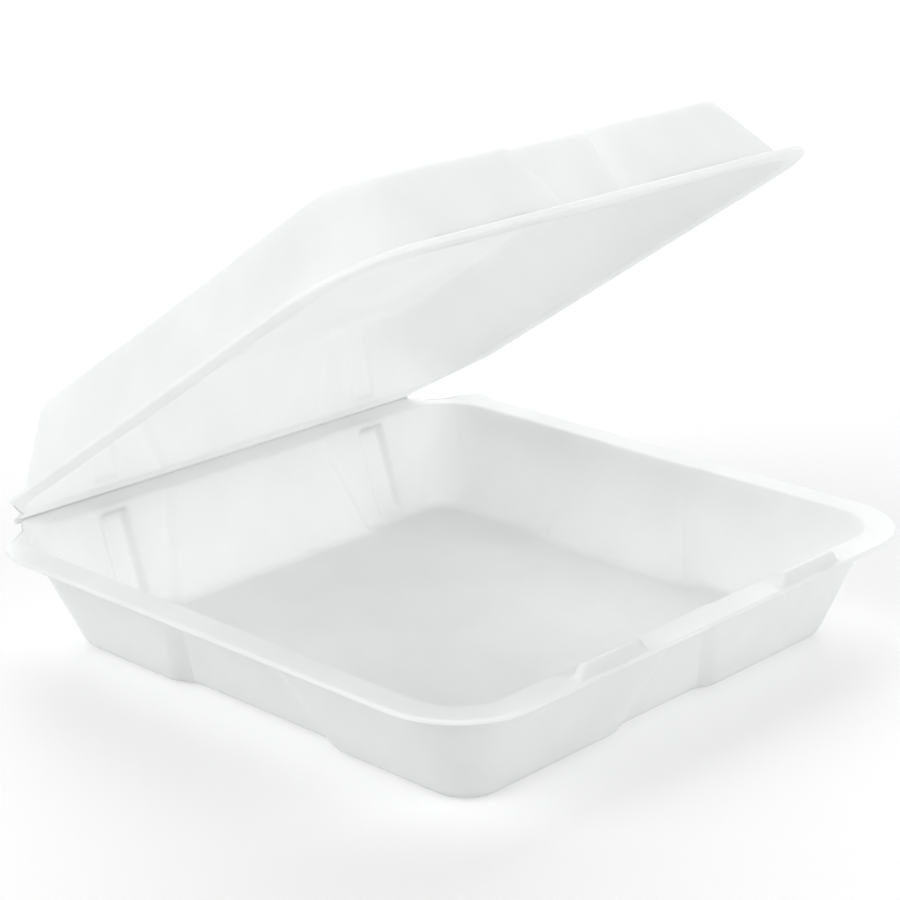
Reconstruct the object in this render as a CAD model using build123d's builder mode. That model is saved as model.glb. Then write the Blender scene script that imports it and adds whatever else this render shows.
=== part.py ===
from build123d import *

import os
from math import atan, cos, hypot, radians, sin, tan

# Overall sizes, in millimetres
rim_width = 241.0
rim_depth = 234.0
tray_height = 39.6
lid_height = 30.6
sheet = 2.2
flange_sheet = 1.9
open_angle = 34.5

# Tray: how far its flange stands out from the walls, and how far the walls run in to the foot
tray_flange_side = 9.0
tray_flange_front = 9.0
tray_flange_hinge = 10.0
tray_run_side = 17.0
tray_run_front = 12.5
tray_run_hinge = 14.0

# Lid: its flange is trimmed a little smaller than the tray's, and its walls run in to the crown
lid_trim_side = 1.1
lid_trim_front = 5.8
lid_flange_side = 9.0
lid_flange_front = 6.7
lid_flange_hinge = 10.0
lid_run_side = 17.5
lid_run_front = 8.0
lid_run_hinge = 14.0

# Corners and soft edges
flange_corner = 30.0
wall_corner = 21.0
foot_corner = 12.0
foot_round = 6.0
floor_round = 5.0
flange_round = 3.0
mouth_round = 1.5
foot_steps = 2
lip_steps = 1

# Wall panels: flush at the flange, set in at the foot or crown, with flat sides a step wide at the foot
side_panel_rim = 40.0
side_panel_foot = 74.0
side_panel_depth = 4.5
lid_side_panel_depth = 1.0
front_panel_rim = 14.0
front_panel_foot = 50.0
front_panel_depth = 3.0
hinge_panel_rim = 74.0
hinge_panel_foot = 100.0
hinge_panel_depth = 3.0
panel_flush = 0.4
panel_step = 7.0

# Stiffening flutes pressed outwards in the two hinge walls
flute_spacing = 130.0
flute_width = 11.0
flute_depth = 2.6
flute_foot = 9.0
flute_fade = 8.0

# Living hinge: a pressed bead on the fold line, with the lid's edge cupped round it
hinge_length = 196.0
hinge_neck = 5.0
tray_corner_run = 22.0
lid_corner_run = 32.0
hinge_corner_round = 6.0
bead_radius = 1.2
hinge_clearance = 0.2
flange_clearance = 0.15

# Front lock: two lugs on the tray's flange, and a slit above the lid's flange behind each lug
lug_spacing = 102.0
lug_length = 32.0
lug_width = 5.0
lug_height = 5.2
lug_slope = 55.0
lug_round = 3.0
lug_edge = 0.9
lug_wall = 1.5
lug_clearance = 0.3
slit_length = 46.0
slit_height = 1.5
slit_depth = 9.0

hinge_y = rim_depth / 2
front_y = -rim_depth / 2
lid_front_y = front_y + lid_trim_front
lug_y = lid_front_y - lug_clearance - lug_width / 2
tray_mouth = tray_height - flange_sheet
lug_plane = Plane.XZ.offset(-lug_y)
lug_align = (Align.CENTER, Align.MIN)
lug_hollow_height = flange_sheet + lug_height - lug_wall
lug_end_wall = lug_wall / sin(radians(lug_slope)) - flange_sheet / tan(radians(lug_slope))
lug_hollow_length = lug_length - 2 * lug_end_wall
lid_seat = tray_height + flange_clearance
lid_mouth = lid_seat + flange_sheet
crown_top = tray_height + lid_height
flute_radius = (flute_width**2 / 4 + flute_depth**2) / (2 * flute_depth)
hinge_axis = Axis((0, hinge_y, tray_height), (1, 0, 0))

os.makedirs("parts", exist_ok=True)


def between(foot, rim, level):
    return foot + (rim - foot) * level


def rounded_face(z, corners):
    # A closed outline at height z, the same left and right, from the x, y and radius of its right corners
    mirrored = [(-x, y, radius) for x, y, radius in reversed(corners)]
    points = [(x, y) for x, y, radius in corners + mirrored]
    radii = [radius for x, y, radius in corners + mirrored]
    with BuildSketch(Plane.XY.offset(z)) as section:
        with BuildLine():
            FilletPolyline(points, radius=radii, close=True)
        make_face()
    return section.sketch


def panel_edges(width, depth, foot_depth, inset):
    # Half widths of a panel at its outer and inner crease, for an outline moved in by the inset
    slant = panel_step / foot_depth
    shift = inset * (hypot(slant, 1) - slant)
    return (width + slant * depth) / 2 + shift, (width - slant * depth) / 2 + shift


def wall_section(z, level, half, front, back, side_panel, inset):
    # The walls at height z, at a level from 0 at the foot to 1 at the flange, moved in by the inset
    side_depth = between(side_panel, panel_flush, level)
    front_depth = between(front_panel_depth, panel_flush, level)
    hinge_depth = between(hinge_panel_depth, panel_flush, level)
    side_width = between(side_panel_foot, side_panel_rim, level)
    front_width = between(front_panel_foot, front_panel_rim, level)
    hinge_width = between(hinge_panel_foot, hinge_panel_rim, level)
    side_out, side_in = panel_edges(side_width, side_depth, side_panel, inset)
    front_out, front_in = panel_edges(front_width, front_depth, front_panel_depth, inset)
    hinge_out, hinge_in = panel_edges(hinge_width, hinge_depth, hinge_panel_depth, inset)
    corner = between(foot_corner, wall_corner, level) - inset
    x = half - inset
    y0 = front + inset
    y1 = back - inset
    return rounded_face(z, [
        (front_in, y0 + front_depth, 0),
        (front_out, y0, 0),
        (x, y0, corner),
        (x, -side_out, 0),
        (x - side_depth, -side_in, 0),
        (x - side_depth, side_in, 0),
        (x, side_out, 0),
        (x, y1, corner),
        (hinge_out, y1, 0),
        (hinge_in, y1 - hinge_depth, 0),
    ])


def tray_section(z, inset):
    level = z / tray_height
    half = rim_width / 2 - tray_flange_side - between(tray_run_side, 0, level)
    front = front_y + tray_flange_front + between(tray_run_front, 0, level)
    back = hinge_y - tray_flange_hinge - between(tray_run_hinge, 0, level)
    return wall_section(z, level, half, front, back, side_panel_depth, inset)


def lid_section(z, inset):
    level = (crown_top - z) / (crown_top - lid_seat)
    half = rim_width / 2 - lid_trim_side - lid_flange_side - between(lid_run_side, 0, level)
    front = lid_front_y + lid_flange_front + between(lid_run_front, 0, level)
    back = hinge_y - lid_flange_hinge - between(lid_run_hinge, 0, level)
    return wall_section(z, level, half, front, back, lid_side_panel_depth, inset)


def round_profile(radius, lean, steps):
    # Heights and insets of a round between a flat face and a wall that leans out as it rises
    turn = radians(90) - atan(lean)
    profile = []
    for step in range(steps + 1):
        angle = turn * step / steps
        rise = radius * (1 - cos(angle))
        profile.append((rise, radius * tan(turn / 2) - radius * sin(angle) + rise * lean))
    return profile


def flange_section(z, half, front, back, corner_run):
    # Rounded at the front, cut in at the back over the corner run, to the length of the hinge
    return rounded_face(z, [
        (half, front, flange_corner),
        (half, hinge_y - corner_run, hinge_corner_round),
        (hinge_length / 2, hinge_y - hinge_neck, hinge_corner_round),
        (hinge_length / 2, back, 0),
    ])


def flutes(radius, foot, rim):
    # Round bars up a hinge wall, fading out at the foot; foot and rim of its outer face are y and z pairs
    along = Vector(0, rim[0] - foot[0], rim[1] - foot[1])
    inward = Vector(0, -abs(along.Z), along.Y * along.Z / abs(along.Z)).normalized()
    start = Vector(0, *foot) + inward * (flute_radius - flute_depth) + along.normalized() * flute_foot
    fade_align = (Align.CENTER, Align.CENTER, Align.MAX)
    bar_align = (Align.CENTER, Align.CENTER, Align.MIN)
    with BuildPart() as bars:
        for x in (-flute_spacing / 2, flute_spacing / 2):
            with Locations(Plane(origin=(x, start.Y, start.Z), x_dir=(1, 0, 0), z_dir=along)):
                Cone(radius - flute_depth, radius, flute_fade, align=fade_align)
                Cylinder(radius, along.length, align=bar_align)
    return bars.part


tray_lean = (tray_run_side + tray_run_front) / 2 / tray_height
lid_lean = (lid_run_side + lid_run_front) / 2 / lid_height
tray_hinge_foot = (hinge_y - tray_flange_hinge - tray_run_hinge, 0)
tray_hinge_rim = (hinge_y - tray_flange_hinge, tray_height)
lid_hinge_foot = (hinge_y - lid_flange_hinge - lid_run_hinge, crown_top)
lid_hinge_rim = (hinge_y - lid_flange_hinge, lid_seat)

# Space inside the tray
with BuildPart() as tray_hollow:
    floor_profile = round_profile(floor_round, tray_lean, foot_steps)
    mouth_profile = round_profile(mouth_round, tray_lean, lip_steps)
    floor = [tray_section(sheet + rise, sheet + inset) for rise, inset in floor_profile]
    mouth = [tray_section(tray_height - rise, sheet - inset) for rise, inset in mouth_profile]
    loft(floor + mouth[::-1], ruled=True)

# Flutes of the tray's hinge wall, outside and inside, both ending under the flange
with BuildPart() as tray_flutes:
    add(flutes(flute_radius, tray_hinge_foot, tray_hinge_rim))
    split(bisect_by=Plane.XY.offset(tray_mouth), keep=Keep.BOTTOM)

with BuildPart() as tray_grooves:
    add(flutes(flute_radius - sheet, tray_hinge_foot, tray_hinge_rim))
    split(bisect_by=Plane.XY.offset(tray_mouth), keep=Keep.BOTTOM)

# Base tray
with BuildPart() as tray:
    foot_profile = round_profile(foot_round, tray_lean, foot_steps)
    neck_profile = round_profile(flange_round, tray_lean, lip_steps)
    foot = [tray_section(rise, inset) for rise, inset in foot_profile]
    neck = [tray_section(tray_mouth - rise, -inset) for rise, inset in neck_profile]
    loft(foot + neck[::-1], ruled=True)
    add(tray_flutes.part)
    tray_flange = flange_section(tray_mouth, rim_width / 2, front_y, hinge_y, tray_corner_run)
    extrude(tray_flange, flange_sheet)
    add(tray_hollow.part, mode=Mode.SUBTRACT)
    add(tray_grooves.part, mode=Mode.SUBTRACT)
    with Locations(Location((0, hinge_y, tray_height), (0, 90, 0))):
        Cylinder(bead_radius, hinge_length)
    with BuildSketch(lug_plane) as lug_outline:
        with Locations((-lug_spacing / 2, tray_height), (lug_spacing / 2, tray_height)):
            Trapezoid(lug_length, lug_height, lug_slope, align=lug_align)
        fillet(lug_outline.vertices().group_by(Axis.Y)[-1], lug_round)
    extrude(amount=lug_width / 2, both=True)
    lug_tops = tray.edges().filter_by(GeomType.LINE).group_by(Axis.Z)[-1]
    chamfer(lug_tops.filter_by(Axis.X), lug_edge)
    with BuildSketch(lug_plane):
        with Locations((-lug_spacing / 2, tray_mouth), (lug_spacing / 2, tray_mouth)):
            Trapezoid(lug_hollow_length, lug_hollow_height, lug_slope, align=lug_align)
    extrude(amount=lug_width / 2 - lug_wall, both=True, mode=Mode.SUBTRACT)

tray.part.label = "base_tray"
export_step(tray.part, "parts/base_tray.step")

# Space inside the lid
with BuildPart() as lid_hollow:
    ceiling_profile = round_profile(floor_round, lid_lean, foot_steps)
    mouth_profile = round_profile(mouth_round, lid_lean, lip_steps)
    ceiling = [lid_section(crown_top - sheet - rise, sheet + inset) for rise, inset in ceiling_profile]
    mouth = [lid_section(lid_seat + rise, sheet - inset) for rise, inset in mouth_profile]
    loft(ceiling + mouth[::-1], ruled=True)

# Flutes of the lid's hinge wall
with BuildPart() as lid_flutes:
    add(flutes(flute_radius, lid_hinge_foot, lid_hinge_rim))
    split(bisect_by=Plane.XY.offset(lid_mouth), keep=Keep.TOP)

with BuildPart() as lid_grooves:
    add(flutes(flute_radius - sheet, lid_hinge_foot, lid_hinge_rim))
    split(bisect_by=Plane.XY.offset(lid_mouth), keep=Keep.TOP)

# Lid, modelled closed and then swung open about the hinge
with BuildPart() as lid:
    crown_profile = round_profile(foot_round, lid_lean, foot_steps)
    neck_profile = round_profile(flange_round, lid_lean, lip_steps)
    crown = [lid_section(crown_top - rise, inset) for rise, inset in crown_profile]
    neck = [lid_section(lid_mouth + rise, -inset) for rise, inset in neck_profile]
    loft(crown + neck[::-1], ruled=True)
    add(lid_flutes.part)
    lid_half = rim_width / 2 - lid_trim_side
    lid_back_y = hinge_y - hinge_clearance
    lid_flange = flange_section(lid_seat, lid_half, lid_front_y, lid_back_y, lid_corner_run)
    extrude(lid_flange, flange_sheet)
    add(lid_hollow.part, mode=Mode.SUBTRACT)
    add(lid_grooves.part, mode=Mode.SUBTRACT)
    with Locations(Location((0, hinge_y, tray_height), (0, 90, 0))):
        Cylinder(bead_radius + hinge_clearance, rim_width, mode=Mode.SUBTRACT)
    slit_y = lid_front_y + lid_flange_front
    slit_align = (Align.CENTER, Align.CENTER, Align.MIN)
    with Locations((-lug_spacing / 2, slit_y, lid_mouth), (lug_spacing / 2, slit_y, lid_mouth)):
        Box(slit_length, slit_depth, slit_height, align=slit_align, mode=Mode.SUBTRACT)

lid_open = lid.part.rotate(hinge_axis, -open_angle)
lid_open.label = "lid"
export_step(lid_open, "parts/lid.step")
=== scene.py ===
from math import atan, cos, hypot, pi, radians, sin, tan

import bmesh
import bpy
from mathutils import Matrix, Vector


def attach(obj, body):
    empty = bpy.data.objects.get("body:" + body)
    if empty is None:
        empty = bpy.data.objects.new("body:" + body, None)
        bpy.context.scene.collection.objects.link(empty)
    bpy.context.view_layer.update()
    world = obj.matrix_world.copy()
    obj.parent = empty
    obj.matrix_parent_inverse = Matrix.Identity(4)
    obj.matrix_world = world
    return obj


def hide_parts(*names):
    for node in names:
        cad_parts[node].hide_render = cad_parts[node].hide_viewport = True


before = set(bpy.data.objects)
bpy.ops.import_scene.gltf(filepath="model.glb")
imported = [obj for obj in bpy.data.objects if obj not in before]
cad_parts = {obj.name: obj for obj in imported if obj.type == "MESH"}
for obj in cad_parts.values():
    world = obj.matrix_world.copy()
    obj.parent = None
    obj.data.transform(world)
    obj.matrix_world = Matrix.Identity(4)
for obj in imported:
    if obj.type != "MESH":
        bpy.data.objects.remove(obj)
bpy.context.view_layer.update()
mm = 0.001

# What the two halves share, in millimetres and degrees
sheetStock = dict(
    foldY=117.0, foldZ=39.6, openAngle=34.5, foldLength=196.0, foldGap=0.15,
    thickness=2.0, pressedEdge=0.45, pressedRun=3.5, pressedEnd=4.0,  # pressed thin along the fold
    edgeRound=0.7, edgeSegments=3, sharpAngle=0.9,
    columnStep=1.6, fineColumnsFrom=60.0,  # columns are twice as close over the flutes
    flangeRows=9, mouthRows=5, wallRows=16, floorRows=7,
)


def between(foot, rim, level):
    return foot + (rim - foot) * level


def ease(t):
    t = min(max(t, 0.0), 1.0)
    return t * t * (3 - 2 * t)


wallCrease = dict(outerFoot=8.0, outerRim=4.0, innerFoot=2.0, innerRim=3.0, rows=4, cornerRows=12)


def panelEdges(panel, level, inset):  # depth, and half widths at the outer and inner crease
    rimWidth, footWidth, rimDepth, footDepth, step = panel
    width = between(footWidth, rimWidth, level)
    depth = between(footDepth, rimDepth, level)
    shift = inset * (hypot(step, depth) - step) / depth
    return depth, (width + step) / 2 + shift, (width - step) / 2 + shift


def wallCorners(shape, level, inset):
    # right half of the walls' outline, level 0 at the foot and 1 at the flange: x, y, radius, rows
    side, sideOut, sideIn = panelEdges(shape["sidePanel"], level, inset)
    front, frontOut, frontIn = panelEdges(shape["frontPanel"], level, inset)
    hinge, hingeOut, hingeIn = panelEdges(shape["hingePanel"], level, inset)
    corner = between(shape["footCorner"], shape["rimCorner"], level) - inset
    outer = between(wallCrease["outerFoot"], wallCrease["outerRim"], level)
    inner = between(wallCrease["innerFoot"], wallCrease["innerRim"], level)
    x = shape["half"] - shape["flangeSide"] - between(shape["runSide"], 0, level) - inset
    y0 = shape["front"] + shape["flangeFront"] + between(shape["runFront"], 0, level) + inset
    y1 = sheetStock["foldY"] - shape["flangeHinge"] - between(shape["runHinge"], 0, level) - inset
    few, many = wallCrease["rows"], wallCrease["cornerRows"]
    return [
        (frontIn, y0 + front, inner, few), (frontOut, y0, outer, few),
        (x, y0, corner, many),
        (x, -sideOut, outer, few), (x - side, -sideIn, inner, few),
        (x - side, sideIn, inner, few), (x, sideOut, outer, few),
        (x, y1, corner, many),
        (hingeOut, y1, outer, few), (hingeIn, y1 - hinge, inner, few),
    ]


def flangeCorners(shape):
    half, foldEnd, foldY = shape["half"], sheetStock["foldLength"] / 2, sheetStock["foldY"]
    return [
        (half, shape["front"], shape["flangeCorner"], 16),
        (half, foldY - shape["cornerRun"], shape["cutRound"], 6),
        (foldEnd, foldY - shape["foldNeck"], shape["cutRound"], 6),
        (foldEnd, foldY, 0.05, 1),
    ]


def softOutline(rightHalf, runs=None):
    # rounds the corners and shares points along the straight runs
    corners = rightHalf + [(-x, y, radius, rows) for x, y, radius, rows in reversed(rightHalf)]
    arcs = []
    for i, (x, y, radius, rows) in enumerate(corners):
        here = Vector((x, y))
        back = (Vector(corners[i - 1][:2]) - here).normalized()
        ahead = (Vector(corners[(i + 1) % len(corners)][:2]) - here).normalized()
        half = back.angle(ahead) / 2
        start = here + back * (radius / tan(half))
        middle = here + (back + ahead).normalized() * (radius / sin(half))
        sign = 1 if back.x * ahead.y - back.y * ahead.x < 0 else -1
        turns = [Matrix.Rotation(sign * (pi - 2 * half) * k / rows, 2) for k in range(rows + 1)]
        arcs.append([middle + turn @ (start - middle) for turn in turns])
    points, counts = [], []
    for i, arc in enumerate(arcs):
        following = arcs[(i + 1) % len(arcs)][0]
        fine = min(arc[-1].y, following.y) > sheetStock["fineColumnsFrom"]
        step = sheetStock["columnStep"] / (2 if fine else 1)
        count = runs[i] if runs else max(1, round((following - arc[-1]).length / step))
        counts.append(count)
        points += arc + [arc[-1].lerp(following, k / count) for k in range(1, count)]
    return points, counts


def roundProfile(radius, lean, rows):  # rise and inset of a round between a flat and a leaning wall
    turn = pi / 2 - atan(lean)
    profile = []
    for k in range(rows + 1):
        angle = turn * k / rows
        rise = radius * (1 - cos(angle))
        profile.append((rise, radius * tan(turn / 2) - radius * sin(angle) + rise * lean))
    return profile


def castOut(point, outward, outline):  # from the mouth straight out to the flange's edge
    best = 1e9
    for a, b in zip(outline, outline[1:] + outline[:1]):
        edge, gap = b - a, a - point
        cross = outward.x * edge.y - outward.y * edge.x
        if abs(cross) > 1e-9:
            t = (gap.x * edge.y - gap.y * edge.x) / cross
            u = (gap.x * outward.y - gap.y * outward.x) / cross
            if 0 < t < best and -1e-6 <= u <= 1 + 1e-6:
                best = t
    return point + outward * best


wallFlute = dict(places=(-65.0, 65.0), width=11.0, side=2.6, fade=5.0, start=2.0, ledge=1.4, wallFrom=40.0)


def pressFlutes(point, level, shape):  # two flat-bottomed grooves pressed outwards in the hinge wall
    for place in wallFlute["places"]:
        across = wallFlute["width"] / 2 - abs(point.x - place)
        if point.y > wallFlute["wallFrom"] and across > -wallFlute["side"] / 2:
            up = level * shape["height"] - sheetStock["thickness"]
            down = (1 - level) * shape["height"]
            deep = shape["fluteDepth"] * ease(across / wallFlute["side"] + 0.5)
            deep *= ease(up / wallFlute["fade"]) * ease((down - wallFlute["start"]) / wallFlute["ledge"])
            return point + Vector((0, deep, 0))
    return point


lockLug = dict(places=(-51.0, 51.0), length=33.0, width=4.6, height=4.2, middle=-113.5,
               endRun=3.2, sideRun=1.3)
backCurl = dict(fromX=106.0, runX=10.0, fromY=88.0, runY=8.0)  # where the back corners lift
foldMeet = dict(run=4.0)  # over which both halves come to one height at the fold


def shapeFlange(point, shape, withLugs):
    lift = shape["cornerCurl"] * ease((abs(point.x) - backCurl["fromX"]) / backCurl["runX"])
    lift *= ease((point.y - backCurl["fromY"]) / backCurl["runY"])
    lift += shape["topGap"] * ease((point.y - sheetStock["foldY"] + foldMeet["run"]) / foldMeet["run"])
    if withLugs:
        for place in lockLug["places"]:
            along = (lockLug["length"] / 2 - abs(point.x - place)) / lockLug["endRun"]
            across = (lockLug["width"] / 2 - abs(point.y - lockLug["middle"])) / lockLug["sideRun"]
            lift += lockLug["height"] * ease(along) * ease(across)
    return point + Vector((0, 0, lift))


lockSlit = dict(places=(-51.0, 51.0), length=46.0, top=2.0, height=1.0, wallTo=-80.0)


def shellRings(shape, withLugs):
    # rings over the inner face of one half, from the flange's edge to the floor
    height, sheet = shape["height"], sheetStock["thickness"]
    lean = (shape["runSide"] + shape["runFront"]) / 2 / height
    mouth = roundProfile(shape["mouthRound"], lean, sheetStock["mouthRows"])
    floor = roundProfile(shape["floorRound"], lean, sheetStock["floorRows"])
    top, runs = softOutline(wallCorners(shape, 1.0, sheet - mouth[0][1]))
    edge = softOutline(flangeCorners(shape))[0]
    corner = shape["rimCorner"]
    right = shape["half"] - shape["flangeSide"] - corner
    near = shape["front"] + shape["flangeFront"] + corner
    far = sheetStock["foldY"] - shape["flangeHinge"] - corner
    outer = []
    for point in top:  # straight out from the sides, fanned out round the corners
        core = Vector((min(max(point.x, -right), right), min(max(point.y, near), far)))
        outer.append(castOut(point, (point - core).normalized(), edge))
    rings = []
    rows = sheetStock["flangeRows"]
    for k in range(rows):
        ring = [Vector((*a.lerp(b, k / rows), height)) for a, b in zip(outer, top)]
        rings.append([shapeFlange(p, shape, withLugs) for p in ring])
    heights = [(height - rise, sheet - inset) for rise, inset in mouth]
    heights.append((height - lockSlit["top"], sheet))  # rows along the slits
    high, low = height - lockSlit["top"] - lockSlit["height"], sheet + floor[-1][0]
    rows = sheetStock["wallRows"]
    heights += [(between(high, low, k / rows), sheet) for k in range(rows)]
    heights += [(sheet + rise, sheet + inset) for rise, inset in reversed(floor)]
    for z, inset in heights:
        points = softOutline(wallCorners(shape, z / height, inset), runs)[0]
        rings.append([pressFlutes(Vector((*p, z)), z / height, shape) for p in points])
    return rings


def pressShell(shape, withLugs):
    rings = shellRings(shape, withLugs)
    bm = bmesh.new()
    loop = bmesh.ops.create_circle(bm, segments=len(rings[0]), radius=1)["verts"]
    for vert, place in zip(loop, rings[0]):
        vert.co = place
    for ring in rings[1:]:  # the edge is extruded inwards row by row
        edges = [bm.edges.get((a, b)) for a, b in zip(loop, loop[1:] + loop[:1])]
        grown = bmesh.ops.extrude_edge_only(bm, edges=edges)["geom"]
        fresh = {g for g in grown if isinstance(g, bmesh.types.BMVert)}
        loop = [next(e.other_vert(v) for e in v.link_edges if e.other_vert(v) in fresh) for v in loop]
        for vert, place in zip(loop, ring):
            vert.co = place
    bmesh.ops.contextual_create(bm, geom=[bm.edges.get((a, b)) for a, b in zip(loop, loop[1:] + loop[:1])])
    bmesh.ops.recalc_face_normals(bm, faces=bm.faces[:])
    if max(bm.faces, key=lambda f: f.calc_area()).normal.z < 0:
        bmesh.ops.reverse_faces(bm, faces=bm.faces[:])
    bm.normal_update()
    return bm


def cutSlits(bm, shape):  # openings in the front wall, just behind the flange
    high = shape["height"] - lockSlit["top"]
    cut = []
    for face in bm.faces:
        middle = face.calc_center_median()
        if middle.y < lockSlit["wallTo"] and high - lockSlit["height"] < middle.z < high:
            if any(abs(middle.x - place) < lockSlit["length"] / 2 for place in lockSlit["places"]):
                cut.append(face)
    bmesh.ops.delete(bm, geom=cut, context="FACES")


def thickenShell(bm, shape):
    # the outer face is a copy of the inner one, moved out by the sheet and pressed thin at the fold
    height, thickness, foldY = shape["height"], sheetStock["thickness"], sheetStock["foldY"]
    pressedRun, pressedEnd = sheetStock["pressedRun"], sheetStock["pressedEnd"]
    foldEnd = sheetStock["foldLength"] / 2
    rimEdges = [e for e in bm.edges if e.is_boundary and min(v.co.z for v in e.verts) > height - 1]
    normals = {tuple(v.co): v.normal.copy() for v in bm.verts}
    grown = bmesh.ops.extrude_face_region(bm, geom=bm.faces[:], use_keep_orig=True)["geom"]
    for vert in [g for g in grown if isinstance(g, bmesh.types.BMVert)]:
        press = ease((vert.co.y - foldY + pressedRun) / pressedRun)
        press *= ease((foldEnd + pressedEnd - abs(vert.co.x)) / pressedEnd)
        if vert.co.y < 0 and vert.co.z > height + 0.01:  # the lugs are solid, flat underneath
            vert.co.z = height - thickness
        else:
            vert.co -= normals[tuple(vert.co)] * between(thickness, sheetStock["pressedEdge"], press)
    bmesh.ops.recalc_face_normals(bm, faces=bm.faces[:])
    soft = set()
    for edge in rimEdges:
        if max(v.co.y for v in edge.verts) < foldY - pressedRun:
            side = min(edge.link_faces, key=lambda f: abs(f.normal.z))
            soft |= {e for e in side.edges if e.calc_face_angle(0) > sheetStock["sharpAngle"]}
    bmesh.ops.bevel(
        bm, geom=[e for e in bm.edges if e in soft], offset=sheetStock["edgeRound"],
        segments=sheetStock["edgeSegments"], profile=0.5, affect="EDGES", material=-1)
    bmesh.ops.dissolve_degenerate(bm, dist=0.001, edges=bm.edges[:])  # slivers at the ends of the fold


def placePiece(bm, name, material):
    bmesh.ops.scale(bm, vec=(mm, mm, mm), verts=bm.verts[:])
    mesh = bpy.data.meshes.new(name)
    bm.to_mesh(mesh)
    bm.free()
    mesh.polygons.foreach_set("use_smooth", [True] * len(mesh.polygons))
    mesh.materials.append(material)
    piece = bpy.data.objects.new(name, mesh)
    bpy.context.collection.objects.link(piece)
    print(name, "has", len(mesh.polygons), "faces")
    return piece


foamLook = dict(
    pale=(0.91, 0.918, 0.916, 1), bright=(0.935, 0.94, 0.938, 1), patchSize=28.0, patchDetail=3,
    patchEdges=(0.35, 0.65), waveSize=9.0, waveDepth=0.05, waveDetail=1, cellSize=0.9, cellDepth=0.03,
    dull=0.56, glossy=0.42, throughLight=0.42,
)


def foamMaterial():
    material = bpy.data.materials.new("whiteFoam")
    material.use_nodes = True
    nodes, links = material.node_tree.nodes, material.node_tree.links
    skin = nodes["Principled BSDF"]
    place = nodes.new("ShaderNodeTexCoord")

    def noise(size, detail):
        texture = nodes.new("ShaderNodeTexNoise")
        texture.inputs["Scale"].default_value = 1 / (size * mm)
        texture.inputs["Detail"].default_value = detail
        links.new(place.outputs["Object"], texture.inputs["Vector"])
        return texture.outputs["Fac"]

    tint = nodes.new("ShaderNodeValToRGB")  # slightly paler and brighter patches
    for stop, edge, colour in zip(tint.color_ramp.elements, foamLook["patchEdges"], ("pale", "bright")):
        stop.position = edge
        stop.color = foamLook[colour]
    links.new(noise(foamLook["patchSize"], foamLook["patchDetail"]), tint.inputs["Fac"])
    links.new(tint.outputs["Color"], skin.inputs["Base Color"])

    waves = noise(foamLook["waveSize"], foamLook["waveDetail"])  # the sheet's slow unevenness
    sheen = nodes.new("ShaderNodeMapRange")
    sheen.inputs["To Min"].default_value = foamLook["dull"]
    sheen.inputs["To Max"].default_value = foamLook["glossy"]
    links.new(waves, sheen.inputs["Value"])
    links.new(sheen.outputs["Result"], skin.inputs["Roughness"])

    cells = noise(foamLook["cellSize"], 0)  # the flattened bubbles under the skin
    waveBump, cellBump = nodes.new("ShaderNodeBump"), nodes.new("ShaderNodeBump")
    waveBump.inputs["Distance"].default_value = foamLook["waveDepth"] * mm
    cellBump.inputs["Distance"].default_value = foamLook["cellDepth"] * mm
    links.new(waves, waveBump.inputs["Height"])
    links.new(cells, cellBump.inputs["Height"])
    links.new(waveBump.outputs["Normal"], cellBump.inputs["Normal"])
    links.new(cellBump.outputs["Normal"], skin.inputs["Normal"])

    through = nodes.new("ShaderNodeBsdfTranslucent")  # thin foam lets a good part of the light through
    links.new(tint.outputs["Color"], through.inputs["Color"])
    links.new(cellBump.outputs["Normal"], through.inputs["Normal"])
    foam = nodes.new("ShaderNodeMixShader")
    foam.inputs["Fac"].default_value = foamLook["throughLight"]
    links.new(skin.outputs["BSDF"], foam.inputs[1])
    links.new(through.outputs["BSDF"], foam.inputs[2])
    links.new(foam.outputs["Shader"], nodes["Material Output"].inputs["Surface"])
    print("foam mixed, letting", foamLook["throughLight"], "of the light through each face")
    return material


whiteFoam = foamMaterial()
foldPoint = Vector((0, sheetStock["foldY"], sheetStock["foldZ"]))

# Panels are given as width at the rim and foot, depth at the rim and foot, and width of the slanting sides
trayShape = dict(
    height=39.6, half=120.45, front=-116.9,
    flangeSide=9.0, flangeFront=9.0, flangeHinge=10.0,
    runSide=17.0, runFront=12.5, runHinge=14.0,
    flangeCorner=30.0, rimCorner=21.0, footCorner=14.0,
    mouthRound=1.6, floorRound=4.2,
    sidePanel=(40, 74, 0.6, 4.5, 7), frontPanel=(14, 48, 0.5, 3, 6), hingePanel=(74, 100, 1.3, 3.2, 4),
    cornerRun=22.0, foldNeck=5.0, cutRound=6.0, cornerCurl=1.6, topGap=0.0, fluteDepth=2.8,
)
foldBead = dict(radius=1.1, segments=28)  # the pressed bead that the lid swings round
trayMesh = pressShell(trayShape, True)
thickenShell(trayMesh, trayShape)
bmesh.ops.create_cone(
    trayMesh, cap_ends=True, segments=foldBead["segments"],
    radius1=foldBead["radius"], radius2=foldBead["radius"], depth=sheetStock["foldLength"],
    matrix=Matrix.Translation(foldPoint) @ Matrix.Rotation(pi / 2, 4, "Y"))
tray = placePiece(trayMesh, "foamTray", whiteFoam)
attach(tray, "base")
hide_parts("base_tray")

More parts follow.
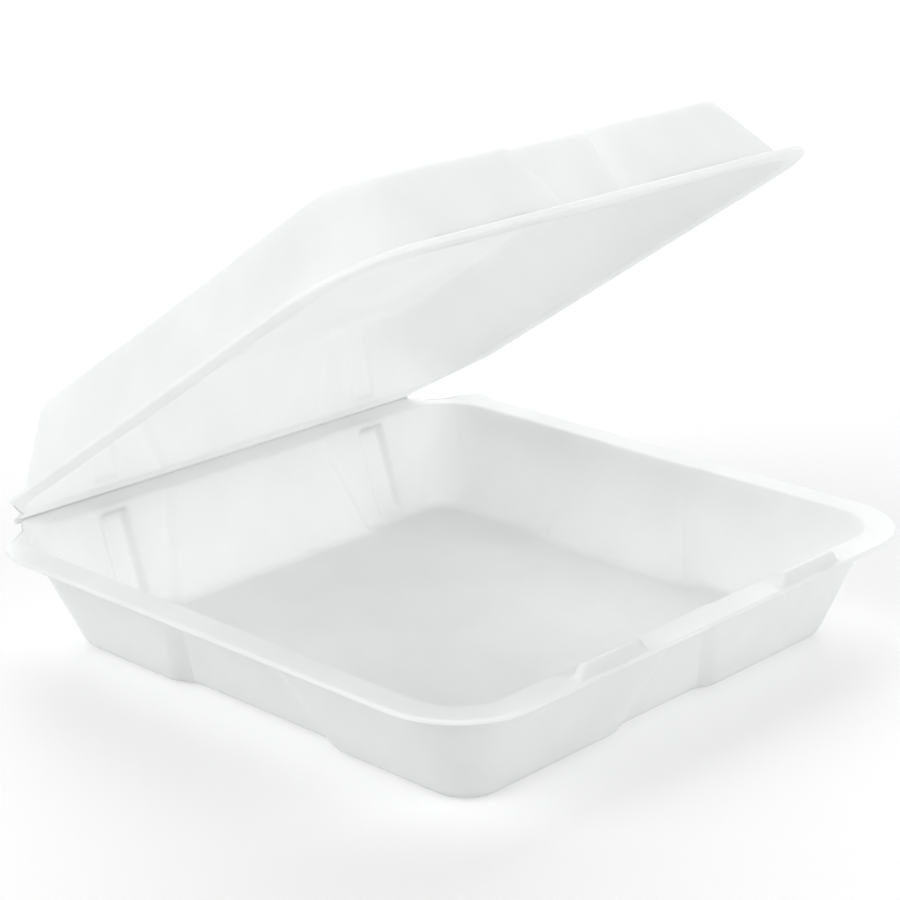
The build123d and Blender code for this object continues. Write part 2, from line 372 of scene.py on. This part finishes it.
lidShape = dict(
    height=30.45, half=119.4, front=-111.2,
    flangeSide=9.0, flangeFront=6.7, flangeHinge=10.0,
    runSide=17.5, runFront=8.0, runHinge=14.0,
    flangeCorner=30.0, rimCorner=21.0, footCorner=17.0,
    mouthRound=1.6, floorRound=4.2,
    sidePanel=(40, 74, 0.35, 1, 6), frontPanel=(30, 42, 1.5, 3, 3.5), hingePanel=(74, 100, 1.3, 3.2, 4),
    cornerRun=32.0, foldNeck=5.0, cutRound=6.0, cornerCurl=0.0, topGap=0.15, fluteDepth=1.0,
)
lidMesh = pressShell(lidShape, False)
cutSlits(lidMesh, lidShape)
thickenShell(lidMesh, lidShape)
drop = sheetStock["foldZ"] - sheetStock["foldGap"] - lidShape["height"]
swing = pi - radians(sheetStock["openAngle"])  # from lying flat behind the tray to where the lid stands
bmesh.ops.translate(lidMesh, vec=(0, 0, drop), verts=lidMesh.verts[:])
bmesh.ops.rotate(lidMesh, cent=foldPoint, matrix=Matrix.Rotation(pi, 3, "Z"), verts=lidMesh.verts[:])
bmesh.ops.rotate(lidMesh, cent=foldPoint, matrix=Matrix.Rotation(swing, 3, "X"), verts=lidMesh.verts[:])
lid = placePiece(lidMesh, "foamLid", whiteFoam)
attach(lid, "cover")
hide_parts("lid")

studio = dict(floorSize=8.0, floorColour=(0.62, 0.62, 0.62, 1), floorGlow=(0.36, 0.36, 0.36, 1),
              floorRough=0.9, skyStrength=0.1)


def seenRays(tree):  # 1 for what the camera sees, straight or in a shine, and 0 for light on the box
    rays = tree.nodes.new("ShaderNodeLightPath")
    value = rays.outputs["Is Camera Ray"]
    for other in ("Is Glossy Ray", "Is Transmission Ray"):
        both = tree.nodes.new("ShaderNodeMath")
        both.operation = "MAXIMUM"
        tree.links.new(value, both.inputs[0])
        tree.links.new(rays.outputs[other], both.inputs[1])
        value = both.outputs["Value"]
    return value


floorMesh = bmesh.new()
bmesh.ops.create_grid(floorMesh, x_segments=1, y_segments=1, size=studio["floorSize"] / 2 / mm)
paleFloor = bpy.data.materials.new("paleFloor")
paleFloor.use_nodes = True
paper = paleFloor.node_tree.nodes["Principled BSDF"]
paper.inputs["Base Color"].default_value = studio["floorColour"]
paper.inputs["Roughness"].default_value = studio["floorRough"]
paper.inputs["Emission Color"].default_value = studio["floorGlow"]  # lifts the floor to white
paleFloor.node_tree.links.new(seenRays(paleFloor.node_tree), paper.inputs["Emission Strength"])
floor = placePiece(floorMesh, "studioFloor", paleFloor)

sky = bpy.data.worlds.new("studioSky")
sky.use_nodes = True
bpy.context.scene.world = sky
nodes, links = sky.node_tree.nodes, sky.node_tree.links
given = nodes["Background"]
seen = nodes.new("ShaderNodeBackground")
pick = nodes.new("ShaderNodeMixShader")
given.inputs["Color"].default_value = seen.inputs["Color"].default_value = (1, 1, 1, 1)
given.inputs["Strength"].default_value = studio["skyStrength"]
links.new(seenRays(sky.node_tree), pick.inputs["Fac"])
links.new(given.outputs["Background"], pick.inputs[1])
links.new(seen.outputs["Background"], pick.inputs[2])
links.new(pick.outputs["Shader"], nodes["World Output"].inputs["Surface"])

# Soft lamps: name, where each shines from, strength, width in degrees
lamps = [
    ("backLamp", (0.73, 0.68, 0.9), 1.68, 50),
    ("leftLamp", (-1.0, 0.25, 0.6), 1.86, 50),
    ("frontLamp", (0.35, -0.95, 0.4), 1.45, 50),
    ("fillLamp", (-0.73, -0.68, 0.6), 0.45, 50),
]
for name, source, strength, width in lamps:
    lamp = bpy.data.objects.new(name, bpy.data.lights.new(name, "SUN"))
    lamp.data.energy = strength
    lamp.data.angle = radians(width)
    lamp.rotation_euler = Vector(source).to_track_quat("Z", "Y").to_euler()
    bpy.context.collection.objects.link(lamp)
print("studio lit by", len(lamps), "lamps")

viewPoint = dict(eye=(-0.5894, -0.5512, 0.3447), target=(-0.0007, 0.0, 0.069), lens=99.38)
camera = bpy.data.objects.new("camera", bpy.data.cameras.new("camera"))
bpy.context.collection.objects.link(camera)
camera.data.lens = viewPoint["lens"]
camera.location = viewPoint["eye"]
aim = Vector(viewPoint["target"]) - camera.location
camera.rotation_euler = aim.to_track_quat("-Z", "Y").to_euler()
bpy.context.scene.camera = camera
bpy.context.scene.view_settings.view_transform = "Standard"
print("camera set with a lens of", viewPoint["lens"])
